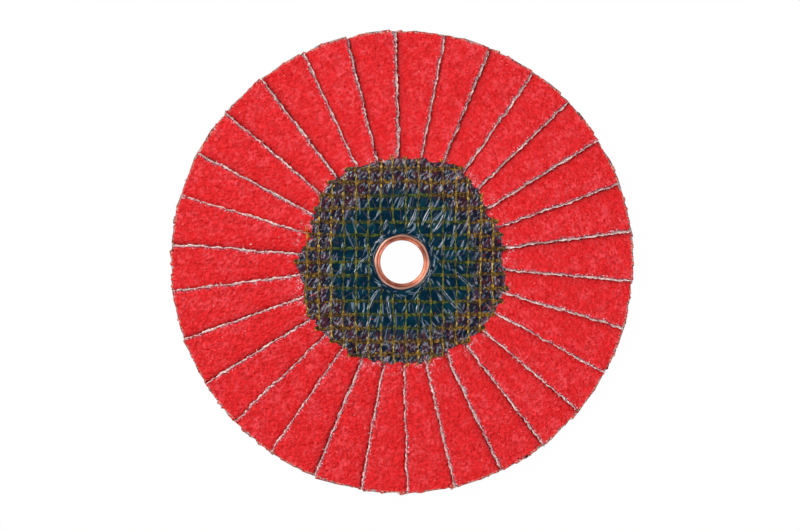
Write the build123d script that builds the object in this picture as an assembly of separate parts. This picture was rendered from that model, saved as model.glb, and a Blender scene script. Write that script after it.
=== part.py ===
"""Flexible flap disc: a fan of abrasive cloth flaps cast into a thin glass-reinforced resin hub.

Origin on the bore axis, in the face that the disc lies on.  +Z points out of the grain side.
Angles are in degrees, counter-clockwise from +X as seen from the grain side.
"""
from build123d import *
import math
import os

# ---- driving dimensions (mm, degrees) ------------------------------------------------------
DISC_DIAMETER = 150.0
BORE_DIAMETER = 14.0

FLAP_COUNT = 30
FLAP_SPAN = 33.0            # angle that one flap covers
CREASES_PER_PITCH = 4       # level fold lines in the exposed part of each flap
FLAP_THICKNESS = 1.2        # cloth, size coats and grain together
FLAP_GAP = 0.02             # air left between two lapped flaps
FLAP_ROOT_RADIUS = 23.5     # where the flaps end inside the hub
FIRST_EDGE_ANGLE = 79.5     # exposed cut edge of flap_01

HUB_RADIUS = 34.0           # mean reach of the resin over the flaps
HUB_FILM = 0.2              # resin left over the highest flap edges
HUB_CLEARANCE = 0.02        # between the resin and what is cast into it
COLLAR_WIDTH = 1.65         # bare resin ring outside the eyelet's flange
COLLAR_HEIGHT = 0.1         # its rise above the mesh bed

WARP_PITCH = 4.02
WARP_OFFSET = 1.3           # one warp pair's distance from the axis
WARP_WIDTH = 1.0
WARP_HEIGHT = 0.4
WARP_CLEFT = 0.14           # depth of the groove between the two yarns of a pair
WEFT_PITCH = 4.28
WEFT_OFFSET = 0.1           # one weft tape's distance from the axis
WEFT_WIDTH = 1.2
WEFT_HEIGHT = 0.25
YARN_SLOPE = 0.15           # how far a yarn's flank leans in
MESH_SELVAGE = 1.5          # no yarn runs nearer than this to the resin's mean edge
MESH_SETBACK = 0.4          # yarn ends stop this far inside the resin's edge
MESH_HOLE_GAP = 0.15        # between the yarn ends and the collar

EYELET_WALL = 0.6
EYELET_FLANGE_WIDTH = 1.35  # beyond the barrel
EYELET_FLANGE_HEIGHT = 0.65
EYELET_FLARE = 0.9          # reach of the flare from the bore into the flange
EYELET_LIP = 0.22           # bevel round the flange's outer edge
EYELET_GAP = 0.03           # between the barrel and the cast hole

# Resin crept further over some flaps than over others: the edge's distance from HUB_RADIUS,
# going round from +X in equal steps.
HUB_EDGE = (-1.0, -0.3, -1.6, 0.4, 2.2, 0.8, 0.1, 0.0,
            0.7, 1.0, -0.9, -2.8, 0.4, -0.8, 1.2, 0.6,
            0.1, 0.0, -0.5, -0.2, -1.4, 0.0, 0.4, 1.0)
BACK_EDGE_TURN = 135.0      # the back's edge is the same line, turned by this and laid over

# ---- heights, from the lying face up -------------------------------------------------------
flap_pitch = 360.0 / FLAP_COUNT
lap_step = FLAP_THICKNESS + FLAP_GAP
flap_rise = lap_step * FLAP_SPAN / flap_pitch

collar_back_z = EYELET_FLANGE_HEIGHT
hub_back_z = collar_back_z + COLLAR_HEIGHT
fan_bottom_z = hub_back_z + HUB_FILM + HUB_CLEARANCE
fan_top_z = fan_bottom_z + flap_rise + FLAP_THICKNESS
hub_front_z = fan_top_z + HUB_CLEARANCE + HUB_FILM
collar_front_z = hub_front_z + COLLAR_HEIGHT
front_z = collar_front_z + EYELET_FLANGE_HEIGHT

# ---- radii ---------------------------------------------------------------------------------
disc_radius = DISC_DIAMETER / 2
bore_radius = BORE_DIAMETER / 2
barrel_radius = bore_radius + EYELET_WALL
flange_radius = barrel_radius + EYELET_FLANGE_WIDTH
collar_radius = flange_radius + COLLAR_WIDTH
mesh_hole_radius = collar_radius + MESH_HOLE_GAP


def corner(angle, radius, z):
    """Point at an angle, a radius and a height."""
    return Vector(radius, 0, z).rotate(Axis.Z, angle)


def panel(*corners):
    """Flat face through its corners, which run counter-clockwise as seen from outside."""
    return Face(Wire.make_polygon(corners, close=True))


def lapped_sheet(inner, outer, spread, swell):
    """Climbing sheet that lies level along every radius, as a flap lies in the fan.

    Its exposed edge, the high one, is on +X, and it falls away counter-clockwise.  The sheet
    is folded on radial lines, at the same angles in every flap, so that lapped flaps nest.
    It is wider than the flap by spread degrees at both ends, and swell thicker on both faces.
    """
    crease = flap_pitch / CREASES_PER_PITCH
    folds = math.ceil(FLAP_SPAN / crease - 0.01) - 1
    angles = [-spread]
    angles += [crease * i for i in range(1, folds + 1)]
    angles += [FLAP_SPAN + spread]

    rims = []
    for angle in angles:
        low = fan_bottom_z + flap_rise * (1 - angle / FLAP_SPAN)
        rims.append((corner(angle, inner, low - swell),
                     corner(angle, outer, low - swell),
                     corner(angle, outer, low + FLAP_THICKNESS + swell),
                     corner(angle, inner, low + FLAP_THICKNESS + swell)))

    faces = [panel(*reversed(rims[0])), panel(*rims[-1])]
    for here, there in zip(rims, rims[1:]):
        inner_low, outer_low, outer_high, inner_high = here
        next_inner_low, next_outer_low, next_outer_high, next_inner_high = there
        faces += [panel(inner_low, next_outer_low, outer_low),
                  panel(inner_low, next_inner_low, next_outer_low),
                  panel(outer_low, next_outer_low, next_outer_high, outer_high),
                  panel(outer_high, next_outer_high, inner_high),
                  panel(next_outer_high, next_inner_high, inner_high),
                  panel(inner_high, next_inner_high, next_inner_low, inner_low)]
    return Solid(Shell(faces))


def edge_angle(i):
    """Angle of a flap's exposed cut edge; the flaps are numbered clockwise."""
    return FIRST_EDGE_ANGLE - i * flap_pitch


def flap():
    """One cloth flap, from its root in the hub to the rim."""
    return lapped_sheet(FLAP_ROOT_RADIUS, disc_radius, 0, 0)


def edge_radius(angle):
    """Reach of the resin at an angle, eased from one point of HUB_EDGE to the next."""
    place = (angle % 360.0) / 360.0 * len(HUB_EDGE)
    first = int(place)
    ease = (1 - math.cos(math.pi * (place - first))) / 2
    here = HUB_EDGE[first % len(HUB_EDGE)]
    there = HUB_EDGE[(first + 1) % len(HUB_EDGE)]
    return HUB_RADIUS + here + (there - here) * ease


def hub_outline(turn):
    """Ragged face of the resin on the plane z = 0, turned about the axis."""
    step = flap_pitch / 2
    corners = [corner(turn + step * i, edge_radius(step * i), 0) for i in range(2 * FLAP_COUNT)]
    return panel(*corners)


def resin_hub():
    """Cast resin: a core inside the flap roots and a film that creeps over both faces."""
    middle_z = (hub_back_z + hub_front_z) / 2
    half = (hub_front_z - hub_back_z) / 2
    middle = Pos(0, 0, middle_z)
    hub = middle * extrude(hub_outline(0), half, dir=(0, 0, 1))
    hub += middle * Rot(180, 0, 0) * extrude(hub_outline(BACK_EDGE_TURN), half, dir=(0, 0, 1))
    hub += middle * Cylinder(collar_radius, collar_front_z - collar_back_z)
    hub -= middle * Cylinder(barrel_radius + EYELET_GAP, 2 * front_z)
    spread = math.degrees(HUB_CLEARANCE / FLAP_ROOT_RADIUS)
    pocket = lapped_sheet(FLAP_ROOT_RADIUS - HUB_CLEARANCE, disc_radius, spread, HUB_CLEARANCE)
    for i in range(FLAP_COUNT):
        hub -= pocket.rotate(Axis.Z, edge_angle(i))
    return hub.solid()


def warp_section():
    """Outline of a warp pair across its run: two round-backed yarns side by side."""
    half = WARP_WIDTH / 2
    return [(-half, 0), (half, 0), (half - YARN_SLOPE, WARP_HEIGHT),
            (YARN_SLOPE, WARP_HEIGHT), (0, WARP_HEIGHT - WARP_CLEFT),
            (-YARN_SLOPE, WARP_HEIGHT), (-half + YARN_SLOPE, WARP_HEIGHT)]


def weft_section():
    """Outline of a weft across its run: one flat tape."""
    half = WEFT_WIDTH / 2
    return [(-half, 0), (half, 0),
            (half - YARN_SLOPE, WEFT_HEIGHT), (-half + YARN_SLOPE, WEFT_HEIGHT)]


def yarn_end(offset, heading, turn):
    """Distance along a yarn from its middle to the resin's edge.

    The yarn runs in the direction heading, at a distance offset to the right of the axis.
    """
    along = HUB_RADIUS
    for _ in range(8):
        angle = heading - math.degrees(math.atan2(offset, along))
        reach = edge_radius(angle - turn)
        along = math.sqrt(max(reach ** 2 - offset ** 2, 0))
    return along - MESH_SETBACK


def yarn(section, offset, start, end):
    """One straight yarn along +Y, from start to end, with its underside on z = 0."""
    corners = [Vector(offset + across, start, up) for across, up in section]
    face = Face(Wire.make_polygon(corners, close=True))
    return extrude(face, end - start, dir=(0, 1, 0)).solid()


def yarn_row(section, width, pitch, first, heading, turn):
    """All yarns of one direction, parted where the mesh has its centre hole."""
    yarns = []
    limit = HUB_RADIUS - MESH_SELVAGE
    for k in range(math.ceil((-limit - first) / pitch), math.floor((limit - first) / pitch) + 1):
        offset = first + k * pitch
        far = yarn_end(offset, heading, turn)
        near = -yarn_end(-offset, heading + 180, turn)
        inner = max(abs(offset) - width / 2, 0)
        if inner < mesh_hole_radius:
            hole = math.sqrt(mesh_hole_radius ** 2 - inner ** 2)
            yarns.append(yarn(section, offset, hole, far))
            yarns.append(yarn(section, offset, near, -hole))
        else:
            yarns.append(yarn(section, offset, near, far))
    return yarns


def glass_mesh(turn):
    """Open glass mesh with its underside on z = 0: flat wefts, and warp pairs over them."""
    wefts = yarn_row(weft_section(), WEFT_WIDTH, WEFT_PITCH, WEFT_OFFSET, 180, turn)
    warps = yarn_row(warp_section(), WARP_WIDTH, WARP_PITCH, WARP_OFFSET, 90, turn)
    laid = [Rot(0, 0, 90) * weft for weft in wefts]
    laid += [Pos(0, 0, WEFT_HEIGHT) * warp for warp in warps]
    return Compound(laid)


def front_glass_mesh():
    """Mesh bedded on the resin's grain side."""
    return Pos(0, 0, hub_front_z) * glass_mesh(0)


def back_glass_mesh():
    """Mesh bedded on the resin's back, turned over about X."""
    return Pos(0, 0, hub_back_z) * Rot(180, 0, 0) * glass_mesh(BACK_EDGE_TURN)


def flange_half():
    """Points of the eyelet's section from the bore wall out to the barrel, above z = 0.

    The flare and the lip are drawn as short bevels, like the steps of the rolling tool.
    """
    top = front_z - collar_front_z
    flare = EYELET_FLARE
    return [(bore_radius, top - flare),
            (bore_radius + 0.30 * flare, top - 0.30 * flare),
            (bore_radius + flare, top),
            (flange_radius - EYELET_LIP, top),
            (flange_radius, top - EYELET_LIP),
            (flange_radius, 0),
            (barrel_radius, 0)]


def eyelet():
    """Rolled copper eyelet: a barrel that lines the bore, flared into a flange at both ends."""
    front = [(radius, collar_front_z + z) for radius, z in flange_half()]
    back = [(radius, collar_back_z - z) for radius, z in reversed(flange_half())]
    section = Plane.XZ * Polygon(*front, *back, align=None)
    return revolve(section, Axis.Z).solid()


os.makedirs("parts", exist_ok=True)

one_flap = flap()
for i in range(FLAP_COUNT):
    export_step(one_flap.rotate(Axis.Z, edge_angle(i)), f"parts/flap_{i + 1:02d}.step")

export_step(resin_hub(), "parts/resin_hub.step")
export_step(front_glass_mesh(), "parts/front_glass_mesh.step")
export_step(back_glass_mesh(), "parts/back_glass_mesh.step")
export_step(eyelet(), "parts/centre_eyelet.step")
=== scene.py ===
"""Looks of a flexible flap disc, built in metres around its fixed solids."""
import math
import random

import bmesh
import bpy
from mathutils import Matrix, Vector, noise


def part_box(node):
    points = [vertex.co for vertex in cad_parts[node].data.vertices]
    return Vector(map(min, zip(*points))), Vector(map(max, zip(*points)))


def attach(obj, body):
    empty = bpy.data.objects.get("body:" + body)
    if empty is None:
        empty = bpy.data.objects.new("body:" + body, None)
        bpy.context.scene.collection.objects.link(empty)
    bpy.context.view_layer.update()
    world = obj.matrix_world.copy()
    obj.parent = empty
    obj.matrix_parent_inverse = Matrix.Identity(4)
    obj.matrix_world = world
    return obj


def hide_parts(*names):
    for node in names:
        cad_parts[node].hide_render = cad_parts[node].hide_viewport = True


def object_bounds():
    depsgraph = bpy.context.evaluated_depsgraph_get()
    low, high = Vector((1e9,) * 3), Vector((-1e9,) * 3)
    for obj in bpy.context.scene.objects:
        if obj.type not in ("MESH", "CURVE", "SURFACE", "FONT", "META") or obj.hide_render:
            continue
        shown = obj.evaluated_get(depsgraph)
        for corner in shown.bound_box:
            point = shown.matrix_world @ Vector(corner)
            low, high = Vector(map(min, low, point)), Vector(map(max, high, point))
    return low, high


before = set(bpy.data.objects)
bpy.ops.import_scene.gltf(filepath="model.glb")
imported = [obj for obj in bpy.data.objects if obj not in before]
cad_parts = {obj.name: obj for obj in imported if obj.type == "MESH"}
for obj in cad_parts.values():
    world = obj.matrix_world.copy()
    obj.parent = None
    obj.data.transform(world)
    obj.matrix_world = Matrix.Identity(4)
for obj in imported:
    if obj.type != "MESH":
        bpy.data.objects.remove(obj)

solid_box = [list(corner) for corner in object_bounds()]


# ---- flaps ----------------------------------------------------------------------------------
# Each flap is a strip of cotton twill with a coat of red ceramic grain bonded on top.  It is cut
# from the roll, so its edges show the bare yarns, and it is cast into the hub at its root.
MM = 0.001
FLAPS = 30
PITCH = math.radians(360 / FLAPS)
SPAN = math.radians(33)             # angle that one flap covers
ROOT = 23.5 * MM                    # radius of the flaps' inner ends
FIRST_EDGE = math.radians(79.5)     # exposed cut edge of the first flap
CLOTH = 0.72 * MM                   # cloth's share of the flap's thickness
OPEN_FROM = 30.6 * MM               # the resin hides the grain nearer to the axis
FRONT_COLUMNS, FRONT_ROWS = 62, 137     # grid of a flap's upper side
BACK_COLUMNS, BACK_ROWS = 16, 20        # grid of its underside
YARN_STEP = 0.4 * MM                # between the points of a yarn's line
EDGE_ENDS, GRAIN_ENDS, RIM_ENDS = 34, 20, 26    # loose ends on one flap
flap_low, flap_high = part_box("flap_01")
thickness = 1.2 * MM
climb = (flap_high.z - flap_low.z - thickness) / SPAN
rim = -solid_box[0][0]


def at(radius, angle, height):
    """Point at a radius and an angle round the bore's axis."""
    return Vector((radius * math.cos(angle), radius * math.sin(angle), height))


def underside(turn):
    """Height of a flap's underside at an angle back from its exposed edge."""
    return flap_low.z + climb * (SPAN - turn)


def wave(x, y, size, seed=0.0):
    """Smooth random value of about -1 to 1 that varies over a size."""
    return 1.6 * noise.noise(Vector((x / size, y / size, seed)))


def ease(value, start, end):
    """0 before start, 1 after end, smooth between."""
    t = min(max((value - start) / (end - start), 0.0), 1.0)
    return t * t * (3 - 2 * t)


class Strip:
    """One flap: where its cut edge and its rim wander, and its upper surface."""

    def __init__(self, index):
        self.seed = 11.3 * index
        self.draw = random.Random(100 + index)
        self.edge = FIRST_EDGE - index * PITCH + math.radians(self.draw.uniform(-0.35, 0.35))
        self.fray = self.draw.uniform(0.7, 1.5)

    def edge_wander(self, radius):
        """How far the cut edge strays from its straight line, at a radius."""
        return (0.19 * wave(radius, 0, 4.5 * MM, self.seed)
                + 0.21 * wave(radius, 0, 1.2 * MM, self.seed + 3)) * MM

    def coat_gap(self, radius):
        """Width of bare cloth along the cut edge, where the grain has broken away."""
        gap = 0.34 + 0.22 * wave(radius, 0, 3.2 * MM, self.seed + 5)
        gap += 0.14 * wave(radius, 0, 0.8 * MM, self.seed + 6)
        return max(gap, 0.08) * self.fray * MM

    def turn(self, radius, distance):
        """Angle back from the flap's nominal edge at a distance from its cut edge."""
        return (distance + self.edge_wander(radius)) / radius

    def rim_radius(self, turn):
        """Radius of the trimmed rim, at an angle back from the edge."""
        ragged = 0.22 * wave(turn * rim, 0, 3.0 * MM, self.seed + 7)
        ragged += 0.75 * wave(turn * rim, 0, 1.15 * MM, self.seed + 8)
        return rim - 0.34 * MM + ragged * MM

    def grain(self, radius, turn):
        """Height of the coat above its mean, which sinks where the next flap covers it."""
        place = at(radius, self.edge + turn, 0)
        height = 0.15 * wave(place.x, place.y, 1.15 * MM, self.seed)
        height += 0.05 * wave(place.x, place.y, 0.6 * MM, self.seed + 1)
        height += 0.07 * wave(place.x, place.y, 8 * MM, self.seed + 2)
        covered = ease(turn, PITCH * 0.97, PITCH * 1.05)
        cast_in = 1 - ease(radius, OPEN_FROM, OPEN_FROM + 1.5 * MM)
        return (height * (1 - covered) - 0.1 * covered - 0.15 * cast_in) * MM


def cloth_and_grain(strip):
    """Mesh of one flap: a fine upper grid, a coarse lower one, and the cut wall between.

    The coat layer is 1 on grain, 0 on bare cloth and -1 on the back; the edge layer is the
    distance in mm from the grain's broken edge, and the tuck layer that from the next flap.
    """
    bm = bmesh.new()
    coat = bm.verts.layers.float.new("coat")
    edge = bm.verts.layers.float.new("edge")
    tuck = bm.verts.layers.float.new("tuck")
    upper = bmesh.ops.create_grid(bm, x_segments=FRONT_COLUMNS, y_segments=FRONT_ROWS,
                                  size=1)["verts"]
    open_to = PITCH * 1.06              # the fine columns end a little under the next flap
    covered = (PITCH * 1.5, PITCH * 2.2, SPAN)
    last_open = FRONT_COLUMNS - len(covered)
    for vert in upper:
        i = round((vert.co.x + 1) / 2 * FRONT_COLUMNS)
        j = round((vert.co.y + 1) / 2 * FRONT_ROWS)
        along = (j - 1) / (FRONT_ROWS - 1)
        radius = OPEN_FROM + (rim - OPEN_FROM) * along if j else ROOT
        gap = strip.coat_gap(radius)
        near = [0, 0.10 * MM, gap * 0.6, gap, gap + 0.07 * MM]
        if i < len(near):
            turn = strip.turn(radius, near[i])
        elif i <= last_open:
            first = strip.turn(radius, gap + 0.22 * MM)
            turn = first + (open_to - first) * (i - len(near)) / (last_open - len(near))
        else:
            turn = covered[i - last_open - 1]
        if j:
            worn = 0.10 + 0.40 * max(wave(turn * rim, 0, 0.9 * MM, strip.seed + 4), 0)
            trim = strip.rim_radius(turn) - worn * MM
            radius = OPEN_FROM + (trim - OPEN_FROM) * along
        low = underside(turn)
        if i < 3:
            height = low + CLOTH + 0.05 * wave(radius, i, 0.6 * MM, strip.seed) * MM
            vert[coat] = 0.0
        elif i == 3:
            height = low + thickness - 0.12 * MM + strip.grain(radius, turn)
            vert[coat] = 0.8
        else:
            height = low + thickness + strip.grain(radius, turn)
            vert[coat] = 1.0
        vert[edge] = (turn - strip.turn(radius, gap)) * radius / MM
        vert[tuck] = (PITCH - turn) * radius / MM
        vert.co = at(radius, strip.edge + turn, height)

    lower = bmesh.ops.create_grid(bm, x_segments=BACK_COLUMNS, y_segments=BACK_ROWS,
                                  size=1)["verts"]
    hidden = SPAN - PITCH * 1.05        # up to here the flap before covers the underside
    for vert in lower:
        i = round((vert.co.x + 1) / 2 * BACK_COLUMNS)
        j = round((vert.co.y + 1) / 2 * BACK_ROWS)
        radius = ROOT + (rim - ROOT) * j / BACK_ROWS
        if i < 3:
            turn = hidden * i / 3
        else:
            turn = hidden + (SPAN - hidden) * (i - 3) / (BACK_COLUMNS - 3)
        if i == 0:
            turn = strip.turn(radius, 0)
        if j == BACK_ROWS:
            radius = strip.rim_radius(turn)
        vert.co = at(radius, strip.edge + turn, underside(turn))
        vert[coat] = -1.0
        vert[edge] = -1.0
        vert[tuck] = 9.0
    bmesh.ops.reverse_faces(bm, faces=list({f for v in lower for f in v.link_faces}))
    bmesh.ops.bridge_loops(bm, edges=[e for e in bm.edges if e.is_boundary])
    bmesh.ops.recalc_face_normals(bm, faces=bm.faces[:])
    return bm


def edge_yarns(strip):
    """Lines of the yarns that lie bare along the cut edge."""
    draw = strip.draw
    lines = []
    whole = [(OPEN_FROM, rim - 0.2 * MM, 0.02, 0.11)]   # from, to, mm from the edge, girth in mm
    parts = []
    start = OPEN_FROM + draw.uniform(0, 6) * MM
    while start < rim - 4 * MM:
        length = draw.uniform(2, 11) * MM
        parts.append((start, min(start + length, rim - 0.3 * MM),
                      draw.uniform(-0.26, 0.30), draw.uniform(0.08, 0.18)))
        start += length * draw.uniform(0.2, 0.8) + draw.uniform(0, 5) * MM
    for first, last, aside, girth in whole + parts:
        line = []
        steps = max(int((last - first) / YARN_STEP), 4)
        lift = draw.uniform(0.5, 1.05)
        phase = draw.uniform(0, 50)
        for k in range(steps + 1):
            radius = first + (last - first) * k / steps
            distance = (aside + 0.15 * wave(radius, phase, 2.2 * MM, strip.seed)
                        + 0.09 * wave(radius, phase, 0.9 * MM, strip.seed)) * MM
            turn = strip.turn(radius, distance)
            height = underside(turn) + CLOTH * (lift + 0.22 * wave(radius, phase, 2.6 * MM, 7))
            share = 0.88 + 0.95 * wave(radius, phase, 1.1 * MM, 3)
            ends = min(k, steps - k) / 3
            line.append((at(radius, strip.edge + turn, height),
                         girth * max(share, 0.2) * min(0.35 + ends, 1) * MM))
        lines.append(line)
    return lines


def slack_yarns(strip):
    """Lines of the few places where fine yarns have bowed out of the cut edge."""
    draw = strip.draw
    lines = []
    for _ in range(draw.choice((2, 3, 3, 4))):
        first = OPEN_FROM + (rim - 6 * MM - OPEN_FROM) * draw.random()
        for _ in range(4):
            start = first + draw.uniform(0, 2.5) * MM
            spread = draw.uniform(-0.32, 0.30)
            steps = draw.randint(6, 12)
            line = []
            for k in range(steps + 1):
                radius = start + k * 0.45 * MM
                bow = math.sin(math.pi * k / steps) + 0.12 * wave(radius, spread, MM, 1)
                turn = strip.turn(radius, spread * bow * MM)
                height = underside(turn) + CLOTH * (0.75 + 0.3 * bow)
                line.append((at(radius, strip.edge + turn, height),
                             0.085 * MM * (0.5 + 0.5 * math.sin(math.pi * k / steps))))
            lines.append(line)
    return lines


def loose_end(strip, start, heading, length, girth):
    """Line of one cut fibre bundle that starts at a point and bends away from its heading."""
    line = []
    bend = strip.draw.uniform(-1.2, 1.2)
    rise = strip.draw.uniform(-0.05, 0.45)
    for k in range(4):
        share = k / 3
        way = heading + bend * share
        step = Vector((math.cos(way), math.sin(way), rise * (1 - share)))
        start = start + step * (length / 4 if k else 0)
        line.append((start, girth * (1 - 0.75 * share)))
    return line


def fringe(strip):
    """Lines of the loose ends on the cut edge, on the grain beside it and round the rim."""
    draw = strip.draw
    lines = []
    for _ in range(round(EDGE_ENDS * strip.fray)):
        radius = OPEN_FROM + (rim - OPEN_FROM) * draw.random()
        turn = strip.turn(radius, draw.uniform(-0.02, 0.3) * MM)
        angle = strip.edge + turn
        start = at(radius, angle, underside(turn) + CLOTH * draw.uniform(0.5, 1.3))
        side = draw.choice((-1, -1, -1, 1))
        along = draw.choice((0, math.pi))
        heading = angle + along + side * (1 if along == 0 else -1) * draw.uniform(0.15, 1.1)
        lines.append(loose_end(strip, start, heading, draw.uniform(0.4, 1.6) * MM,
                               draw.uniform(0.05, 0.12) * MM))
    for _ in range(GRAIN_ENDS):
        radius = OPEN_FROM + (rim - OPEN_FROM) * draw.random()
        turn = strip.turn(radius, strip.coat_gap(radius) + draw.uniform(-0.1, 0.45) * MM)
        start = at(radius, strip.edge + turn, underside(turn) + thickness)
        lines.append(loose_end(strip, start, draw.uniform(0, 2 * math.pi),
                               draw.uniform(0.2, 0.6) * MM, draw.uniform(0.06, 0.16) * MM))
    for _ in range(RIM_ENDS):
        turn = draw.uniform(0, PITCH)
        start = at(strip.rim_radius(turn) - 0.12 * MM, strip.edge + turn,
                   underside(turn) + CLOTH * draw.uniform(0.1, 1.15))
        heading = strip.edge + turn + draw.uniform(-1.1, 1.1)
        lines.append(loose_end(strip, start, heading, draw.uniform(0.2, 0.6) * MM,
                               draw.uniform(0.05, 0.12) * MM))
    return lines


def round_yarns(name, lines, resolution):
    """Mesh of round yarns along lines of points, each with its own radius."""
    curve = bpy.data.curves.new(name, "CURVE")
    curve.dimensions = "3D"
    curve.bevel_depth = 1
    curve.bevel_resolution = resolution
    curve.use_fill_caps = True
    for line in lines:
        spline = curve.splines.new("POLY")
        spline.points.add(len(line) - 1)
        for point, (place, radius) in zip(spline.points, line):
            point.co = (*place, 1)
            point.radius = radius
    yarns = bpy.data.objects.new(name, curve)
    mesh = bpy.data.meshes.new_from_object(yarns)
    bpy.data.objects.remove(yarns)
    bpy.data.curves.remove(curve)
    bm = bmesh.new()
    bm.from_mesh(mesh)
    bmesh.ops.remove_doubles(bm, verts=bm.verts[:], dist=1e-6)
    bmesh.ops.recalc_face_normals(bm, faces=bm.faces[:])
    bm.to_mesh(mesh)
    bm.free()
    return mesh


class Field:
    """A shader socket: arithmetic on it adds Math nodes, and node() adds any other node."""

    def __init__(self, tree, socket=None):
        self.tree = tree
        self.socket = socket

    def node(self, kind, settings=None, sockets=None, out=0):
        made = self.tree.nodes.new("ShaderNode" + kind)
        for name, value in (settings or {}).items():
            if name == "stops":
                ramp = made.color_ramp.elements
                while len(ramp) < len(value):
                    ramp.new(0.5)
                for stop, (place, colour) in zip(ramp, value):
                    stop.position = place
                    stop.color = (*colour, 1)
            else:
                setattr(made, name, value)
        for name, value in (sockets or {}).items():
            if isinstance(value, Field):
                self.tree.links.new(value.socket, made.inputs[name])
            else:
                made.inputs[name].default_value = value
        return Field(self.tree, made.outputs[out])

    def maths(self, operation, *values):
        return self.node("Math", {"operation": operation}, dict(enumerate(values)))

    def __add__(self, other):
        return self.maths("ADD", self, other)

    __radd__ = __add__

    def __sub__(self, other):
        return self.maths("SUBTRACT", self, other)

    def __rsub__(self, other):
        return self.maths("SUBTRACT", other, self)

    def __mul__(self, other):
        return self.maths("MULTIPLY", self, other)

    __rmul__ = __mul__

    def sine(self):
        return self.maths("SINE", self)

    def root(self):
        return self.maths("SQRT", self)

    def fraction(self):
        return self.maths("FRACT", self)

    def size(self):
        return self.maths("ABSOLUTE", self)

    def step(self, low, high):
        """0 below low, 1 above high, smooth between."""
        return self.node("MapRange", {"interpolation_type": "SMOOTHSTEP"},
                         {"Value": self, "From Min": low, "From Max": high})

    def mix(self, zero, one):
        """Colour between two colours, by this share; sockets 6 and 7 are the Mix colours."""
        return self.node("Mix", {"data_type": "RGBA"}, {0: self, 6: zero, 7: one}, 2)

    def bump(self, distance):
        """Normal of a surface that this height raises by up to a distance."""
        return self.node("Bump", sockets={"Height": self, "Distance": distance})

    def other(self, out):
        """Another output of the node that this socket belongs to."""
        return Field(self.tree, self.socket.node.outputs[out])


def look(name, **constants):
    """A material, its Principled shader's inputs and a Field to make its nodes with."""
    material = bpy.data.materials.new(name)
    material.use_nodes = True
    shader = material.node_tree.nodes["Principled BSDF"]
    for socket, value in constants.items():
        shader.inputs[socket.replace("_", " ")].default_value = value
    return material, shader.inputs, Field(material.node_tree)


def feed(nodes, inputs, **links):
    """Link fields to a shader's inputs."""
    for socket, value in links.items():
        nodes.tree.links.new(value.socket, inputs[socket.replace("_", " ")])


def own(nodes):
    """The object's own coordinates."""
    return nodes.node("TexCoord", out="Object")


def layer(nodes, name):
    """Value of one of the mesh's float layers."""
    return nodes.node("Attribute", {"attribute_name": name}, out="Fac")


def speckle(nodes, size, detail=2.0, roughness=0.5, stretch=None):
    """Noise of 0 to 1 over the object's own coordinates, with features of a size."""
    place = own(nodes)
    if stretch:
        place = nodes.node("Mapping", {"vector_type": "TEXTURE"},
                           {"Vector": place, "Rotation": stretch[0], "Scale": stretch[1]})
    return nodes.node("TexNoise", {}, {"Vector": place, "Scale": 1 / size, "Detail": detail,
                                       "Roughness": roughness})


def plan(nodes):
    """Place across the disc along X and along Y, and distance from the bore's axis."""
    x = nodes.node("SeparateXYZ", sockets={"Vector": own(nodes)})
    y = x.other("Y")
    return x, y, (x * x + y * y).root()


def layered(base, *layers):
    """Colour under layers, each a share and the colour that it lays over those before."""
    for share, colour in layers:
        base = share.mix(base, colour)
    return base


def sound_coat(nodes, flat, tuck, blotch):
    """Red of the grain, mottled with the cloth's ribs, with painted shade towards the next flap.
    """
    painted_sheen = speckle(nodes, 3.4 * MM, 2, 0.5)
    patches = speckle(nodes, 2.4 * MM, 1, 0.5)
    shaded_pits = speckle(nodes, 0.55 * MM, 2, 0.6)
    pale = speckle(nodes, 0.6 * MM, 0)
    ribs = nodes.node("TexNoise", {}, {
        "Vector": nodes.node("Mapping", {}, {"Vector": flat, "Scale": (1 / 0.85, 1 / 1.25, 1)}),
        "Scale": 1.0, "Detail": 3.0, "Roughness": 0.6})
    tone = blotch * 0.5 + ribs * 0.5
    return layered(
        tone.step(0.39, 0.60).mix((0.64, 0.001, 0.003, 1), (0.81, 0.013, 0.019, 1)),
        # Painted sheen: pink patches on the lighter tone stand for the grain's dull highlights.
        (painted_sheen.step(0.42, 0.62) * 0.75 * tone.step(0.42, 0.56), (0.83, 0.060, 0.076, 1)),
        ((1 - patches.step(0.40, 0.52)) * 0.55, (0.59, 0.001, 0.003, 1)),
        # Painted shade: the red darkens towards the edge of the flap that covers this one, gently
        # over 9 mm and more within 3.4 mm.
        ((1 - tuck.step(0.5, 9.0)) * 0.30, (0.72, 0.001, 0.003, 1)),
        ((1 - tuck.step(0.2, 3.4)) * 0.34, (0.44, 0.001, 0.003, 1)),
        # Painted shade: small dark red specks stand for the shade inside pits in the grain.
        (shaded_pits.step(0.62, 0.70) * 0.75, (0.32, 0.005, 0.009, 1)),
        (1 - pale.step(0.11, 0.15), (0.80, 0.40, 0.40, 1)))


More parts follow.
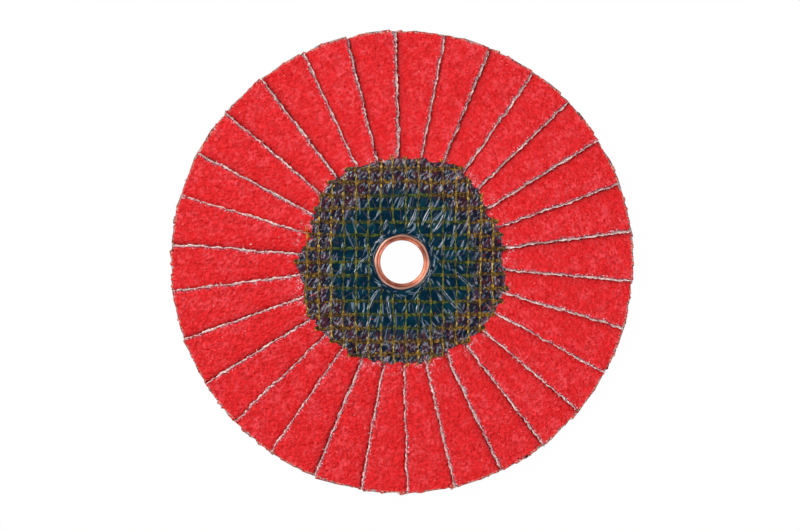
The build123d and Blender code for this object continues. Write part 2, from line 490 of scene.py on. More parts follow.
def worn_and_shaded_coat(nodes, red, tuck, blotch):
    """The coat where it broke at the cut edge or was trimmed or dusted, with painted shade and
    shadow by the next flap.
    """
    edge = layer(nodes, "edge")
    _, _, radius = plan(nodes)
    crumbs = speckle(nodes, 0.55 * MM, 2, 0.7)
    bright = speckle(nodes, 0.6 * MM, 1, 0.6)
    dust = speckle(nodes, 0.42 * MM, 2, 0.6)
    patchy = speckle(nodes, 3.0 * MM, 1, 0.5).step(0.50, 0.62)
    # Painted shade: patches darken the coat within 1.9 mm of the next flap's edge.
    shade = (1 - tuck.step(0.4, 1.9)) * blotch.step(0.42, 0.56)
    # Painted shadow: a dark, patchy line along the next flap's edge, where that edge would cast
    # its shadow.
    painted_edge_shadow = (1 - tuck.step(0.15, 0.75)) * crumbs.step(0.44, 0.54)
    at_rim = radius.step(rim - 1.1 * MM, rim - 0.4 * MM)
    near_hub = 1 - radius.step(34.0 * MM, 38.0 * MM)
    return layered(
        red,
        ((1 - edge.step(0.10, 0.62)) * crumbs.step(0.47, 0.56), (0.07, 0.022, 0.045, 1)),
        ((1 - edge.step(0.3, 0.9)) * bright.step(0.60, 0.66), (0.88, 0.42, 0.52, 1)),
        (shade * 0.38, (0.33, 0.001, 0.003, 1)),
        (painted_edge_shadow * 0.75, (0.16, 0.006, 0.010, 1)),
        (at_rim * crumbs.step(0.50, 0.57), (0.60, 0.40, 0.31, 1)),
        (at_rim * bright.step(0.57, 0.63), (0.20, 0.035, 0.045, 1)),
        (dust.step(0.52, 0.60) * near_hub * patchy * 0.85, (0.80, 0.46, 0.52, 1)))


def cut_cloth(nodes):
    """Cloth that the coat has broken away from, with drops of red resin."""
    fibre = speckle(nodes, 0.34 * MM, 2, 0.7)
    cloth = fibre.step(0.32, 0.58).mix((0.12, 0.045, 0.065, 1), (0.74, 0.55, 0.52, 1))
    glue = speckle(nodes, 1.1 * MM, 2, 0.6)
    return glue.step(0.54, 0.66).mix(cloth, (0.44, 0.04, 0.06, 1))


def twill(nodes, flat):
    """Height of the woven back, from 0 to 1, and its colour; the UV places are in mm."""
    yarn = nodes.node("SeparateXYZ", sockets={"Vector": flat})
    across = yarn.other("Y")
    rib = (yarn * (math.pi / 0.42)).sine()
    pick = (across * (math.pi / 0.50)).sine()
    rib = rib * rib
    pick = pick * pick
    weave = (yarn * (2 * math.pi / 1.68) + across * (2 * math.pi / 1.5)).sine().step(-0.3, 0.3)
    weave = rib * weave + pick * (1 - weave)
    size = speckle(nodes, 2.6 * MM, 3, 0.6)
    canvas = weave.mix((0.42, 0.27, 0.17, 1), (0.78, 0.62, 0.46, 1))
    return weave, size.step(0.5, 0.72).mix(canvas, (0.62, 0.40, 0.26, 1))


def grain_look():
    """Red ceramic grain in resin on top, bare cloth at the cut edge, and cream twill behind."""
    material, inputs, nodes = look("red_grain_on_twill", IOR=1.45, Specular_IOR_Level=0.3)
    coat = layer(nodes, "coat")
    tuck = layer(nodes, "tuck")
    flat = nodes.node("UVMap", {"uv_map": "cloth"})
    blotch = speckle(nodes, 1.1 * MM, 3, 0.6)
    red = worn_and_shaded_coat(nodes, sound_coat(nodes, flat, tuck, blotch), tuck, blotch)
    weave, canvas = twill(nodes, flat)
    front = coat.step(-0.6, -0.3)
    face = coat.step(0.35, 0.75).mix(cut_cloth(nodes), red)
    feed(nodes, inputs, Base_Color=front.mix(canvas, face))
    grit = nodes.node("TexVoronoi", {"feature": "F1"},
                      {"Vector": own(nodes), "Scale": 1 / (0.36 * MM)})
    height = speckle(nodes, 0.9 * MM, 0) + speckle(nodes, 0.5 * MM, 0) * 0.4 + grit * 0.08
    height = height * front + weave * 0.4 * (1 - front)
    feed(nodes, inputs, Normal=height.bump(0.78 * MM),
         Roughness=blotch.step(0.3, 0.7) * 0.12 + (1 - front) * 0.3 + 0.46)
    return material


def fibre_look():
    """Bare polyester-cotton fibres, pink where the red resin has soaked in."""
    material, inputs, nodes = look("frayed_yarn", IOR=1.45, Specular_IOR_Level=0.3)
    soaked = speckle(nodes, 1.7 * MM, 2, 0.6)
    lint = speckle(nodes, 0.55 * MM, 3, 0.75)
    colour = lint.step(0.37, 0.51).mix((0.20, 0.085, 0.12, 1), (0.98, 0.76, 0.71, 1))
    colour = soaked.step(0.56, 0.66).mix(colour, (0.52, 0.11, 0.15, 1))
    feed(nodes, inputs, Base_Color=colour, Normal=lint.bump(0.10 * MM),
         Roughness=lint * 0.2 + 0.7)
    return material


def smooth_object(bm, name, *materials):
    """Object of smooth faces, made of a finished bmesh that isn't needed again."""
    for face in bm.faces:
        face.smooth = True
    mesh = bpy.data.meshes.new(name)
    bm.to_mesh(mesh)
    bm.free()
    for material in materials:
        mesh.materials.append(material)
    made = bpy.data.objects.new(name, mesh)
    bpy.context.scene.collection.objects.link(made)
    return made


grain = grain_look()
fibre = fibre_look()
for i in range(FLAPS):
    strip = Strip(i)
    bm = cloth_and_grain(strip)
    uv = bm.loops.layers.uv.new("cloth")
    coat = bm.verts.layers.float["coat"]
    for face in bm.faces:
        below = any(vert[coat] < -0.5 for vert in face.verts)
        bearing = strip.edge + (SPAN - PITCH / 2 if below else PITCH / 2)
        for loop in face.loops:
            x, y = loop.vert.co.xy / MM
            loop[uv].uv = (x * math.cos(bearing) + y * math.sin(bearing),
                           y * math.cos(bearing) - x * math.sin(bearing))
    bare = set(bm.faces)
    for lines, resolution in ((edge_yarns(strip) + slack_yarns(strip), 1), (fringe(strip), 0)):
        yarns = round_yarns("yarns", lines, resolution)
        bm.from_mesh(yarns)
        bpy.data.meshes.remove(yarns)
    for face in bm.faces:
        if face not in bare:
            face.material_index = 1
    piece = smooth_object(bm, f"flap_{i + 1:02d}_cloth", grain, fibre)
    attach(piece, "root")
    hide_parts(f"flap_{i + 1:02d}")


# ---- resin hub ------------------------------------------------------------------------------
# Clear blue epoxy cast round the flap roots.  It pools deep and flat near the bore, creeps thinly
# out over the lapped cloth on both faces, and its skin has wrinkled where the press let it go.
HUB = 34 * MM                       # mean radius of the resin's edge
# The edge's distance from HUB in mm, going round from +X every EDGE_STEP degrees.
EDGE_STEP = 15
EDGE_OFFSETS = (-1.0, -0.3, -1.6, 0.4, 2.2, 0.8, 0.1, 0.0, 0.7, 1.0, -0.9, -2.8,
                0.4, -0.8, 1.2, 0.6, 0.1, 0.0, -0.5, -0.2, -1.4, 0.0, 0.4, 1.0)
BACK_EDGE_TURN = math.radians(135)  # the back's edge is the same line, turned and laid over
# Pitch of the glass yarns that lie in the resin, and the place of one of them.
WARP_PITCH, WARP_OFFSET = 4.02 * MM, 1.3 * MM
WEFT_PITCH, WEFT_OFFSET = 4.28 * MM, 0.1 * MM
POOL = 24 * MM                      # radius of the deep resin inside the flap roots
SUNK = 0.145 * MM                   # how far the pool lies below the solid's face
COLLAR = 10.6 * MM                  # bare ring of resin round the eyelet
AROUND, FRONT_RINGS, BACK_RINGS = 640, 132, 16
BARREL = 7.63 * MM                  # the eyelet's tube, against which the resin ends
CELL = 10 * MM                      # side of the squares that the wrinkles are filed by
# Wrinkles in the pool and in the ring over the cloth: tries at one, the inner and outer radius
# between which they lie, and how far apart they keep, in mm.
POOL_FOLDS = (90, 12.2, 25.0, 1.9)
RING_FOLDS = (700, 23.5, 33.5, 0.95)
COLLAR_FOLDS = 44
# The longest wrinkles: x and y in mm, bearing in degrees, half length in mm.
LONG_FOLDS = ((15.8, -12.1, 130, 8.3), (19.9, -5.8, 136, 5.7), (-9.6, -12.4, 64, 4.2),
              (-4.2, -15.0, 97, 4.6), (8.2, 15.4, 62, 4.6), (12.4, 13.0, 60, 4.2),
              (3.4, 14.2, 66, 3.9))
hub_low, hub_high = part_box("resin_hub")
eyelet_low, eyelet_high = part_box("centre_eyelet")


def edge_line(angle):
    """Radius of the resin's edge on the front, at an angle."""
    place = math.degrees(angle) % 360 / EDGE_STEP
    i = int(place)
    share = (1 - math.cos(math.pi * (place - i))) / 2
    here, there = (EDGE_OFFSETS[k % len(EDGE_OFFSETS)] for k in (i, i + 1))
    return HUB + (here + (there - here) * share) * MM


def nearest(value, offset, pitch):
    """Distance from the nearest of a row of evenly spaced lines."""
    return abs((value - offset + pitch / 2) % pitch - pitch / 2)


def pool_bearing(x, y, draw):
    """Bearing in degrees of a wrinkle in the pool, whose skin was pulled several ways."""
    if x > 7 * MM and y < 2 * MM:
        return draw.gauss(118, 18)
    if x < -5 * MM and y > 0:
        return draw.gauss(92, 24)
    if y < -9 * MM:
        return draw.gauss(78, 15)
    return draw.gauss(61, 10)


def lay_folds(draw):
    """Wrinkles side by side.

    Each has a place in metres, a bearing in degrees, half its length and width in mm, and a slope.
    """
    placed = [(x * MM, y * MM, bearing, half, 0.62, 0.58) for x, y, bearing, half in LONG_FOLDS]
    for folds in (POOL_FOLDS, RING_FOLDS):
        tries, inner, outer, apart = folds
        for _ in range(tries):
            radius = math.sqrt(draw.uniform(inner ** 2, outer ** 2)) * MM
            angle = draw.uniform(0, 2 * math.pi)
            x, y = radius * math.cos(angle), radius * math.sin(angle)
            bearing = pool_bearing(x, y, draw)
            if folds is RING_FOLDS:
                bearing = draw.gauss(66, 26)
                half = draw.uniform(0.5, 1.3)
                width = draw.uniform(0.26, 0.38)
            else:
                half = draw.uniform(1.4, 5.0)
                width = draw.uniform(0.30, 0.50)
            c, s = math.cos(math.radians(bearing)), math.sin(math.radians(bearing))
            clear = all(abs((y - fy) * c - (x - fx) * s) > apart * MM
                        or abs((x - fx) * c + (y - fy) * s) > (half + length) * 0.85 * MM
                        for fx, fy, _, length, _, _ in placed)
            if clear:
                placed.append((x, y, bearing, half, width, draw.uniform(0.46, 0.66)))
    for _ in range(COLLAR_FOLDS):
        radius, angle = draw.uniform(9.2, 11.0) * MM, draw.uniform(0, 2 * math.pi)
        placed.append((radius * math.cos(angle), radius * math.sin(angle),
                       math.degrees(angle) + 90 + draw.gauss(0, 24), draw.uniform(0.6, 1.9),
                       draw.uniform(0.24, 0.36), draw.uniform(0.4, 0.7)))
    return placed


class Skin:
    """One face of the cast resin, as a height over the flaps that it has run over."""

    def __init__(self, front, seed):
        self.front = front
        self.side = 1 if front else -1
        self.seed = seed
        self.level = hub_high.z - SUNK if front else hub_low.z + SUNK
        self.folds = {}
        self.fold_skin(random.Random(seed))

    def reach(self, angle):
        """Radius of the ragged edge of the resin."""
        line = edge_line(angle) if self.front else edge_line(-angle - BACK_EDGE_TURN)
        x, y, _ = at(HUB, angle, 0)
        ragged = 0.45 * wave(x, y, 2.6 * MM, self.seed)
        ragged += 0.28 * wave(x, y, 0.9 * MM, self.seed + 1)
        return line + ragged * MM

    def cloth(self, angle):
        """Height of the cloth that faces out at an angle."""
        back = (angle - FIRST_EDGE) % PITCH
        if self.front:
            return underside(back) + thickness
        return underside(SPAN - PITCH + (angle - FIRST_EDGE - SPAN) % PITCH)

    def bed(self, x, y):
        """Height of the resin without its wrinkles, and its depth over the cloth."""
        radius = math.hypot(x, y)
        angle = math.atan2(y, x)
        reach = self.reach(angle)
        blur = 0.55 * MM * (1 - ease(radius, reach - 3 * MM, reach)) / max(radius, MM)
        cloth = sum(self.cloth(angle + k * blur) for k in (-2, -1, 0, 1, 2)) / 5
        film = 0.26 + 0.11 * wave(x, y, 2.4 * MM, self.seed + 2)
        film -= 0.75 * ease(radius, reach - 1.5 * MM, reach + 0.5 * MM)
        over = cloth + self.side * film * MM
        follow = 0.8 * ease(radius, POOL - 1.5 * MM, POOL + 2.5 * MM)
        follow += 0.2 * ease(radius, reach - 4 * MM, reach - 0.5 * MM)
        height = self.level * (1 - follow) + over * follow
        depth = self.side * (height - cloth) if radius > POOL - 0.5 * MM else 3 * MM
        return height, depth

    def fold_skin(self, draw):
        """Files the wrinkles by the square they lie in and by those around it."""
        for x, y, bearing, half, width, slope in lay_folds(draw):
            way = math.radians(bearing)
            fold = (x, y, math.cos(way), math.sin(way), half * MM, width * MM,
                    width * slope * MM / math.pi, draw.uniform(-0.16, 0.16) * half * MM)
            spread = math.ceil(half * MM / CELL + 0.1)
            cell = (math.floor(x / CELL), math.floor(y / CELL))
            for i in range(-spread, spread + 1):
                for j in range(-spread, spread + 1):
                    self.folds.setdefault((cell[0] + i, cell[1] + j), []).append(fold)

    def wrinkle(self, x, y):
        """Height that the wrinkles add at a point."""
        total = 0.0
        for fx, fy, c, s, half, width, height, bend in self.folds.get(
                (math.floor(x / CELL), math.floor(y / CELL)), ()):
            u = ((x - fx) * c + (y - fy) * s) / half
            if abs(u) >= 1:
                continue
            width *= 1 - 0.55 * u * u
            v = abs((y - fy) * c - (x - fx) * s - bend * (u * u - 0.4)) / width
            if v >= 1:
                continue
            ridge = height * (1 + math.cos(math.pi * v))
            total = max(total, ridge * (1 - 0.45 * u * u) * min(1, 4 * (1 - abs(u))))
        return total

    def collar(self, radius, angle):
        """Height that the swollen ring round the eyelet adds."""
        swell = 0.24 + 0.13 * wave(math.cos(angle), math.sin(angle), 0.35, self.seed + 4)
        ring = ease(radius, 8.9 * MM, 9.5 * MM) - ease(radius, 9.8 * MM, COLLAR + 0.9 * MM)
        return (0.08 * (1 - ease(radius, 9.8 * MM, COLLAR)) + swell * ring) * MM

    def face(self, x, y):
        """Height and depth of the finished face at a point."""
        radius = math.hypot(x, y)
        angle = math.atan2(y, x)
        height, depth = self.bed(x, y)
        meshed = ease(radius, COLLAR, COLLAR + 0.8 * MM)
        warp = nearest(x, WARP_OFFSET, WARP_PITCH) / (0.6 * MM)
        weft = nearest(y, WEFT_OFFSET, WEFT_PITCH) / (0.9 * MM)
        rise = 0.11 * max(math.exp(-warp * warp), math.exp(-weft * weft)) * meshed
        rise += 0.05 * wave(x, y, 1.7 * MM, self.seed + 5) * meshed
        lumps = ease(radius, POOL - MM, POOL + 2 * MM)
        across = 0.88 * x - 0.47 * y
        along = (0.88 * y + 0.47 * x) / 1.8
        lumps *= 1 - 0.8 * math.exp(-weft * weft)
        rise += 0.11 * (0.4 + wave(across, along, 1.5 * MM, self.seed + 6)) * lumps
        edge = 1 - ease(radius, self.reach(angle) - 1.5 * MM, self.reach(angle))
        fold = self.wrinkle(x, y) * ease(radius, 9.0 * MM, 9.4 * MM) * edge
        total = rise * MM * edge + fold + self.collar(radius, angle)
        return height + self.side * total, depth + total, fold


def resin_sheet(bm, skin, rings):
    """Adds one face of the hub to a mesh, from the eyelet's barrel to the ragged edge."""
    depth = bm.verts.layers.float["depth"]
    crest = bm.verts.layers.float["crest"]
    made = bmesh.ops.create_grid(bm, x_segments=AROUND, y_segments=rings, size=1)["verts"]
    for vert in made:
        angle = (vert.co.x + 1) * math.pi
        share = (vert.co.y + 1) / 2
        outer = skin.reach(angle) + 0.55 * MM
        radius = BARREL + (outer - BARREL) * share
        spot = at(radius, angle, 0)
        spot.z, thick, fold = skin.face(spot.x, spot.y)
        vert.co = spot
        vert[depth] = thick / MM
        vert[crest] = fold / MM
    return made


def strokes(nodes, bearing, length, spacing, gate):
    """Thin wandering strokes of 0 to 1 that run along a bearing in degrees."""
    turn = (0, 0, math.radians(bearing))
    place = nodes.node("Mapping", {"vector_type": "TEXTURE"}, {
        "Vector": own(nodes), "Rotation": turn, "Scale": (spacing, spacing, MM)})
    across = nodes.node("SeparateXYZ", sockets={"Vector": place}, out=1)
    drift = speckle(nodes, 1.0, 1, 0.5, (turn, (length, 3 * spacing, MM)))
    line = (across + drift * 2.4).fraction()
    line = 1 - (line - 0.5).size().step(0.08, 0.24)
    breaks = speckle(nodes, 1.0, 1, 0.5, (turn, (0.6 * length, 0.9 * spacing, MM)))
    return line * breaks.step(gate, gate + 0.09)


def painted_crease_highlights(nodes, outer, cloud):
    """Painted highlights of 0 to 1: pale lines along the creased skin, which turn round the bore
    as it was pulled.
    """
    across, up, radius = plan(nodes)
    turned = across.step(5 * MM, 9 * MM) * (1 - up.step(0.0, 4 * MM))
    upright = (1 - (across + up * 0.6).step(-13 * MM, -8 * MM)) * (1 - turned)
    inside = strokes(nodes, 62, 8 * MM, 1.5 * MM, 0.53) * (1 - turned) * (1 - upright)
    inside = inside + strokes(nodes, 124, 9 * MM, 1.7 * MM, 0.56) * turned
    inside = inside + strokes(nodes, 86, 7 * MM, 1.6 * MM, 0.55) * upright
    outside = strokes(nodes, 58, 3.4 * MM, 1.5 * MM, 0.54)
    outside = outside.maths("MAXIMUM", outside, strokes(nodes, 84, 3.0 * MM, 1.3 * MM, 0.58))
    outside = outside * (cloud.step(0.35, 0.6) * 0.7 + 0.3)
    return (inside * (1 - outer) + outside * outer) * radius.step(9.2 * MM, 10.0 * MM)


def resin_look():
    """Blue epoxy: deep teal in the pool, wine red and violet where it lies thin on grain."""
    material, inputs, nodes = look("blue_epoxy", IOR=1.5, Specular_IOR_Level=0.35,
                                   Coat_IOR=1.5, Coat_Roughness=0.06)
    depth = layer(nodes, "depth")
    cloud = speckle(nodes, 2.2 * MM, 3, 0.6)
    thin = depth + (cloud - 0.5) * 0.7
    tint = nodes.node("ValToRGB", {"stops": (
        (0.0, (0.27, 0.008, 0.014)), (0.06, (0.120, 0.008, 0.008)),
        (0.14, (0.060, 0.010, 0.011)), (0.28, (0.016, 0.006, 0.013)),
        (0.5, (0.0, 0.011, 0.023)), (0.9, (0.0, 0.0135, 0.030)))}, {"Fac": thin * 0.5})
    pool = speckle(nodes, 3.2 * MM, 2, 0.5)
    chips = speckle(nodes, 0.9 * MM, 0, 0.5)
    across, up, radius = plan(nodes)
    # The flaps' cut edges show through the resin as faint lines.
    flap = (up.maths("ARCTAN2", up, across) * (1 / PITCH) - FIRST_EDGE / PITCH).fraction()
    beside = (flap - 0.5).size() * -1 + 0.5
    seam = 1 - (beside * radius).step(0.05 * MM / PITCH, 0.16 * MM / PITCH)
    seam = seam * radius.step(12 * MM, 15 * MM) * cloud.step(0.38, 0.55) * 0.6
    outer = radius.step(20 * MM, 27 * MM)
    haze = speckle(nodes, 1.0, 2, 0.5, ((0, 0, math.radians(62)), (2.4 * MM, 1.1 * MM, MM)))
    line = painted_crease_highlights(nodes, outer, cloud)
    crest = layer(nodes, "crest")
    # Painted highlight: the flanks of the wrinkles are lightened, and their crests are left
    # darker.
    painted_flank_highlight = crest.step(0.03, 0.06) * (1 - crest.step(0.09, 0.16))
    feed(nodes, inputs, Base_Color=layered(
        tint,
        (pool.step(0.44, 0.68) * 0.7, (0.001, 0.036, 0.056, 1)),
        (chips.step(0.86, 0.88), (0.38, 0.02, 0.03, 1)),
        (seam, (0.115, 0.065, 0.075, 1)),
        (haze.step(0.50, 0.60) * outer * 0.7, (0.062, 0.016, 0.036, 1)),
        ((1 - haze.step(0.42, 0.50)) * outer * 0.9, (0.002, 0.006, 0.018, 1)),
        # Painted highlights: pale crease lines, bluish in the pool and lavender-grey over the
        # cloth, and lightened wrinkle flanks.
        (line * 0.75, outer.mix((0.18, 0.24, 0.31, 1), (0.34, 0.31, 0.36, 1))),
        (painted_flank_highlight * 0.42, (0.20, 0.26, 0.34, 1))))
    ripple = speckle(nodes, 0.9 * MM, 2, 0.5)
    creases = speckle(nodes, 1.0, 1, 0.5, ((0, 0, math.radians(62)), (6.5 * MM, 1.5 * MM, MM)))
    height = creases.step(0.50, 0.68) * 0.25 + ripple * 0.12 + line * 0.34
    feed(nodes, inputs, Normal=height.bump(0.25 * MM),
         Roughness=cloud * 0.12 + 0.14 + outer * 0.04, Coat_Weight=0.5 - outer * 0.3)
    return material


front_skin = Skin(True, 41)
back_skin = Skin(False, 67)
bm = bmesh.new()
bm.verts.layers.float.new("depth")
bm.verts.layers.float.new("crest")
resin_sheet(bm, front_skin, FRONT_RINGS)
back_verts = resin_sheet(bm, back_skin, BACK_RINGS)
bmesh.ops.reverse_faces(bm, faces=list({f for v in back_verts for f in v.link_faces}))
bmesh.ops.remove_doubles(bm, verts=bm.verts[:], dist=1e-7)
for low, high in ((0, 8 * MM), (8 * MM, 1)):    # first by the barrel, then the ragged edges
    lip = [e for e in bm.edges if e.is_boundary and low < e.verts[0].co.xy.length < high]
    bmesh.ops.bridge_loops(bm, edges=lip)
bmesh.ops.recalc_face_normals(bm, faces=bm.faces[:])
piece = smooth_object(bm, "resin_hub_cast", resin_look())
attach(piece, "root")
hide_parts("resin_hub")


# ---- glass meshes ---------------------------------------------------------------------------
# An open leno weave of resin-coated glass yarn on each face: flat wefts across, and pairs of thin
# warps that twist round them.  It lies bedded in the resin, which runs up its yarns.
MESH_HOLE = 10.75 * MM
WEFT_HALF_WIDTH = 0.60 * MM
WEFT_HALF_HEIGHT = 0.13 * MM
WEFT_SIDES = 10
WEFT_STEP = 0.5 * MM
STRAND = 0.13 * MM                  # radius of one warp strand
LONG_WEFT = WEFT_OFFSET + 2 * WEFT_PITCH    # the +X end of this weft sticks out past the resin
LONG_WEFT_END = 32.8 * MM


def yarn_runs(skin, offset, upright, draw):
    """Stretches of one yarn from edge to edge of the resin, parted at the centre hole."""
    ends = []
    for way in (1, -1):
        along = HUB
        for _ in range(6):
            spot = (offset, way * along) if upright else (way * along, offset)
            reach = skin.reach(math.atan2(spot[1], spot[0]))
            along = math.sqrt(max(reach ** 2 - offset ** 2, 0))
        ends.append(way * (along + draw.uniform(-0.9, 0.6) * MM))
    if abs(offset) < MESH_HOLE:
        hole = math.sqrt(MESH_HOLE ** 2 - offset ** 2)
        return [(hole + draw.uniform(0, 0.8) * MM, ends[0]),
                (ends[1], -hole - draw.uniform(0, 0.8) * MM)]
    return [(ends[1], ends[0])]


def lying(skin, x, y, lift):
    """Height of a yarn's middle line over the resin, or over the cloth past the resin's edge."""
    bed = skin.side * skin.bed(x, y)[0]
    cloth = skin.side * skin.cloth(math.atan2(y, x)) + 0.04 * MM
    return skin.side * (max(bed, cloth) + lift * MM)


def offsets(first, pitch):
    """Places of the yarns of one direction."""
    limit = HUB - 1.5 * MM
    return [first + k * pitch for k in range(math.ceil((-limit - first) / pitch),
                                             math.floor((limit - first) / pitch) + 1)]


def warp_pairs(skin, draw):
    """Lines of the twisted warp strands, with their radii."""
    lines = []
    for x in offsets(WARP_OFFSET, WARP_PITCH):
        for start, end in yarn_runs(skin, x, True, draw):
            steps = round((end - start) / YARN_STEP)
            for strand in (1, -1):
                line = []
                for k in range(steps + 1):
                    y = start + (end - start) * k / steps
                    phase = math.pi * (y - WEFT_OFFSET) / WEFT_PITCH
                    stray = 0.34 * wave(x, y, 7 * MM, skin.seed)
                    stray += 0.07 * wave(x, y, 1.3 * MM, strand)
                    loose = 1 - ease(min(end - y, y - start), 0, 3 * MM)
                    stray += loose * (0.8 * wave(x, y, 3.5 * MM, skin.seed + 2) + 0.2 * strand)
                    aside = strand * 0.22 * math.cos(phase) + stray
                    lift = 0.21 + strand * 0.12 * math.sin(phase)
                    lift += 0.08 * math.cos(2 * phase) + 0.06 * wave(x, y, 2 * MM, 11)
                    girth = STRAND * (1 + 0.2 * wave(x, y, 1.5 * MM, strand + 3))
                    girth *= 0.88 + 0.34 * math.cos(phase) ** 2
                    line.append(((x + aside * MM, y, lying(skin, x, y, lift)), girth))
                lines.append(line)
    return lines


def weft_tapes(bm, skin, draw):
    """Adds the flat wefts to a mesh, each a rolled grid with closed ends."""
    for y in offsets(WEFT_OFFSET, WEFT_PITCH):
        runs = yarn_runs(skin, y, False, draw)
        if skin.front and abs(y - LONG_WEFT) < MM:
            runs[0] = (runs[0][0], LONG_WEFT_END)
        for start, end in runs:
            steps = round((end - start) / WEFT_STEP)
            made = bmesh.ops.create_grid(bm, x_segments=steps, y_segments=WEFT_SIDES,
                                         size=1)["verts"]
            for vert in made:
                x = start + (end - start) * (vert.co.x + 1) / 2
                roll = (vert.co.y + 1) * math.pi
                half = WEFT_HALF_WIDTH * (1 + 0.2 * wave(x, y, 1.3 * MM, 5))
                half *= 0.90 + 0.45 * ease(math.hypot(x, y), 21 * MM, 27 * MM)
                over = nearest(x, WARP_OFFSET, WARP_PITCH) / (0.5 * MM)
                half *= 1 - 0.18 * math.exp(-over * over)
                stray = 0.20 * wave(x, y, 8 * MM, skin.seed + 9) * MM
                lift = 0.05 + WEFT_HALF_HEIGHT / MM * math.sin(roll)
                vert.co = Vector((x, y + stray + half * math.cos(roll), lying(skin, x, y, lift)))
            bmesh.ops.remove_doubles(bm, verts=made, dist=1e-7)
    bmesh.ops.holes_fill(bm, edges=[e for e in bm.edges if e.is_boundary], sides=0)


def glass_look(name, inner, outer, inner_shine, outer_shine, knot):
    """Coated glass yarn, greened by the blue resin below and amber over the flaps."""
    material, inputs, nodes = look(name, IOR=1.5, Specular_IOR_Level=0.25,
                                   Coat_IOR=1.5, Coat_Roughness=0.1, Coat_Weight=0.05)
    zone = layer(nodes, "zone")
    patch = speckle(nodes, 1.8 * MM, 2, 0.6)
    over = zone.step(0.0, 1.0)
    dim = speckle(nodes, 0.8 * MM, 2, 0.6)
    # Painted highlights: the shine colours are laid over patches of the yarn by noise.
    colour = dim.step(0.47, 0.59).mix(over.mix(inner, outer), over.mix(inner_shine, outer_shine))
    if knot:
        up = nodes.node("SeparateXYZ", sockets={"Vector": own(nodes)}, out=1)
        between = ((up - WEFT_OFFSET) * (1 / WEFT_PITCH) + 0.5).fraction() - 0.5
        near = (1 - between.size().step(0.07, 0.19)) * patch.step(0.3, 0.5) * 0.8
        colour = near.mix(colour, knot)
    shade = over.mix((0.005, 0.011, 0.007, 1), (0.018, 0.008, 0.004, 1))
    colour = ((1 - patch.step(0.40, 0.54)) * 0.75).mix(colour, shade)
    colour = zone.step(1.1, 1.8).mix(colour, (0.75, 0.20, 0.006, 1))
    feed(nodes, inputs, Base_Color=colour)
    strands = speckle(nodes, 0.45 * MM, 3, 0.6)
    feed(nodes, inputs, Normal=strands.bump(0.20 * MM), Roughness=patch * 0.2 + 0.2)
    return material


warp_glass = glass_look("warp_glass", (0.045, 0.080, 0.004, 1), (0.240, 0.145, 0.004, 1),
                        (0.280, 0.320, 0.040, 1), (0.900, 0.600, 0.085, 1),
                        (0.250, 0.120, 0.008, 1))
weft_glass = glass_look("weft_glass", (0.005, 0.018, 0.002, 1), (0.018, 0.005, 0.001, 1),
                        (0.075, 0.105, 0.008, 1), (0.240, 0.120, 0.003, 1), None)
for node, skin, seed in (("front_glass_mesh", front_skin, 5), ("back_glass_mesh", back_skin, 6)):
    draw = random.Random(seed)
    bm = bmesh.new()
    weft_tapes(bm, skin, draw)
    tapes = set(bm.faces)
    strands = round_yarns("warps", warp_pairs(skin, draw), 1)
    bm.from_mesh(strands)
    bpy.data.meshes.remove(strands)
    bmesh.ops.recalc_face_normals(bm, faces=bm.faces[:])
    zone = bm.verts.layers.float.new("zone")
    for vert in bm.verts:
        radius = vert.co.xy.length
        reach = skin.reach(math.atan2(vert.co.y, vert.co.x))
        spread = 1.2 * wave(vert.co.x, vert.co.y, 3 * MM, 8) * MM
        vert[zone] = ease(radius + spread, 21.5 * MM, 26 * MM) + ease(radius, reach, reach + MM)
    for face in bm.faces:
        face.material_index = 1 if face in tapes else 0
    piece = smooth_object(bm, node + "_woven", warp_glass, weft_glass)
    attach(piece, "root")
    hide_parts(node)


# ---- centre eyelet --------------------------------------------------------------------------
# A copper tube rolled over at both ends.  The rolling leaves a round throat, a shallow groove and
# an outer lip that has pulled in to a faint octagon; it clamps the meshes and the hub together.
LIP = ((7.00, 1.00), (7.03, 0.80), (7.10, 0.64), (7.22, 0.53), (7.40, 0.44), (7.60, 0.36),
       (7.76, 0.31), (7.90, 0.27), (8.03, 0.17), (8.17, 0.06), (8.34, 0.0), (8.54, 0.02),
       (8.72, 0.10), (8.87, 0.24), (8.95, 0.42), (8.90, 0.55), (8.76, 0.62), (8.2, 0.645),
       (7.6, 0.645))                # radius and depth below the top, in mm
TURNS = 144


def copper_look():
    """Copper, brown in the groove, its roll and lip paler as worn copper and as a painted
    highlight.
    """
    material, inputs, nodes = look("rolled_copper", Metallic=0.7)
    tarnish = speckle(nodes, 2.4 * MM, 2, 0.5)
    colour = tarnish.step(0.3, 0.7).mix((0.34, 0.080, 0.040, 1), (0.57, 0.19, 0.115, 1))
    _, _, radius = plan(nodes)
    groove = (radius - 7.93 * MM).size().step(0.06 * MM, 0.20 * MM)
    colour = groove.mix((0.20, 0.040, 0.020, 1), colour)
    # The top of the roll and the outer lip are painted paler, partly as worn copper and partly as
    # a painted highlight.
    colour = (radius.step(8.05 * MM, 8.45 * MM) * 0.75).mix(colour, (0.66, 0.39, 0.31, 1))
    fine = speckle(nodes, 0.25 * MM, 2, 0.6)
    feed(nodes, inputs, Base_Color=colour, Roughness=tarnish * 0.15 + 0.26,
         Normal=(fine * 0.4 + tarnish * 0.3).bump(0.05 * MM))
    return material


def lathe(profile, steps):
    """Mesh of a line of radii and heights, turned all the way round the bore's axis."""
    bm = bmesh.new()
    corners = [bm.verts.new((radius, 0, height)) for radius, height in profile]
    edges = [bm.edges.new(pair) for pair in zip(corners, corners[1:])]
    bmesh.ops.spin(bm, geom=corners + edges, cent=(0, 0, 0), axis=(0, 0, 1),
                   angle=2 * math.pi, steps=steps, use_merge=True)
    bmesh.ops.remove_doubles(bm, verts=bm.verts[:], dist=1e-6)
    bmesh.ops.recalc_face_normals(bm, faces=bm.faces[:])
    return bm


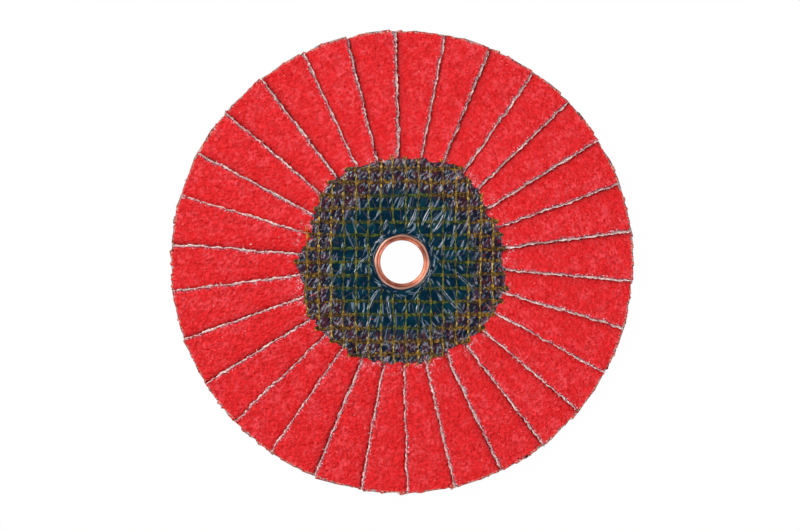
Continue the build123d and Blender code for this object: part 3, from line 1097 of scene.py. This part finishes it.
profile = [(radius * MM, eyelet_high.z - depth * MM) for radius, depth in LIP]
profile += [(radius * MM, eyelet_low.z + depth * MM) for radius, depth in reversed(LIP)]
bm = lathe(profile + profile[:1], TURNS)
for vert in bm.verts:
    radius = vert.co.xy.length
    angle = math.atan2(vert.co.y, vert.co.x)
    pulled = ease(radius, 8.0 * MM, 8.9 * MM) * 0.009 * (1 - math.cos(8 * angle + 0.5))
    worn = 0.03 * wave(vert.co.x, vert.co.y, 2.5 * MM, 3) * ease(radius, 7.6 * MM, 8.2 * MM)
    vert.co.xy *= 1 - pulled
    if vert.co.z > eyelet_high.z / 2:
        vert.co.z -= abs(worn) * MM
    else:
        vert.co.z += abs(worn) * MM
piece = smooth_object(bm, "centre_eyelet_rolled", copper_look())
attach(piece, "root")
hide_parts("centre_eyelet")


# ---- floor, lamps and camera ----------------------------------------------------------------
# The disc lies on its back face on a white sweep, under four softboxes, the largest at the upper
# left, with a camera straight above it.
FLOOR = -0.2 * MM                   # just clear of the eyelet's back
SWEEP = ((0, FLOOR), (0.4, FLOOR), (2.6, FLOOR), (3.2, 0.12), (3.5, 0.5), (3.55, 1.3))
SHADOW_SHARE = 0.015                # how much of its shading the camera sees on the white floor
bm = lathe(SWEEP, 96)
if sum(f.normal.z for f in bm.faces) < 0:
    bmesh.ops.reverse_faces(bm, faces=bm.faces[:])
material, inputs, nodes = look("white_paper", Roughness=0.9, Specular_IOR_Level=0.1)
inputs["Base Color"].default_value = (0.8, 0.8, 0.8, 1)
rays = nodes.node("LightPath", out="Is Camera Ray")
seen = rays.maths("MAXIMUM", rays, rays.other("Is Glossy Ray"))
seen = seen.maths("MAXIMUM", seen, rays.other("Is Transmission Ray"))
glow = nodes.node("Emission", sockets={"Color": (1, 1, 1, 1), "Strength": 1.0})
shader = Field(nodes.tree, inputs["Base Color"].node.outputs[0])
shown = nodes.node("MixShader", sockets={0: seen * (1 - SHADOW_SHARE), 1: shader, 2: glow})
clear = nodes.node("BsdfTransparent")
under = nodes.node("NewGeometry", out="Backfacing")
feed(nodes, nodes.tree.nodes["Material Output"].inputs,
     Surface=nodes.node("MixShader", sockets={0: under, 1: shown, 2: clear}))
floor = smooth_object(bm, "floor", material)

world = bpy.data.worlds.new("studio")
bpy.context.scene.world = world
world.use_nodes = True
nodes = Field(world.node_tree)
way = nodes.node("SeparateXYZ", sockets={"Vector": nodes.node("TexCoord")}, out=2)
sky = way.step(0.25, 0.85).mix((0.45, 0.45, 0.45, 1), (0.03, 0.03, 0.03, 1))
feed(nodes, world.node_tree.nodes["Background"].inputs, Color=sky)


def lamp(name, bearing, distance, width, length, radiance):
    """Softbox at a bearing in degrees, tilted from overhead and facing the disc."""
    data = bpy.data.lights.new(name, "AREA")
    data.shape = "RECTANGLE"
    data.size, data.size_y = width, length
    data.energy = radiance * math.pi * width * length
    box = bpy.data.objects.new(name, data)
    box.location = at(distance * math.sin(LAMP_TILT), math.radians(bearing),
                      distance * math.cos(LAMP_TILT))
    box.rotation_mode = "QUATERNION"
    box.rotation_quaternion = box.location.to_track_quat("Z", "Y")
    bpy.context.scene.collection.objects.link(box)


LAMP_TILT = math.radians(47)
lamp("key", 150, 1.1, 0.90, 0.28, 13.8)
lamp("right", -22, 1.1, 0.74, 0.17, 12)
lamp("upper", 33, 1.2, 0.40, 0.17, 10)
lamp("lower", -120, 1.2, 0.40, 0.17, 13.5)

CAMERA_HEIGHT = 723.4 * MM
CAMERA_X, CAMERA_Y = -0.62 * MM, -1.13 * MM     # a little off the bore's axis
camera = bpy.data.objects.new("camera", bpy.data.cameras.new("camera"))
camera.data.lens = 100
camera.data.sensor_width = 36
camera.location = (CAMERA_X, CAMERA_Y, CAMERA_HEIGHT)
bpy.context.scene.collection.objects.link(camera)
bpy.context.scene.camera = camera
bpy.context.scene.view_settings.view_transform = "Standard"
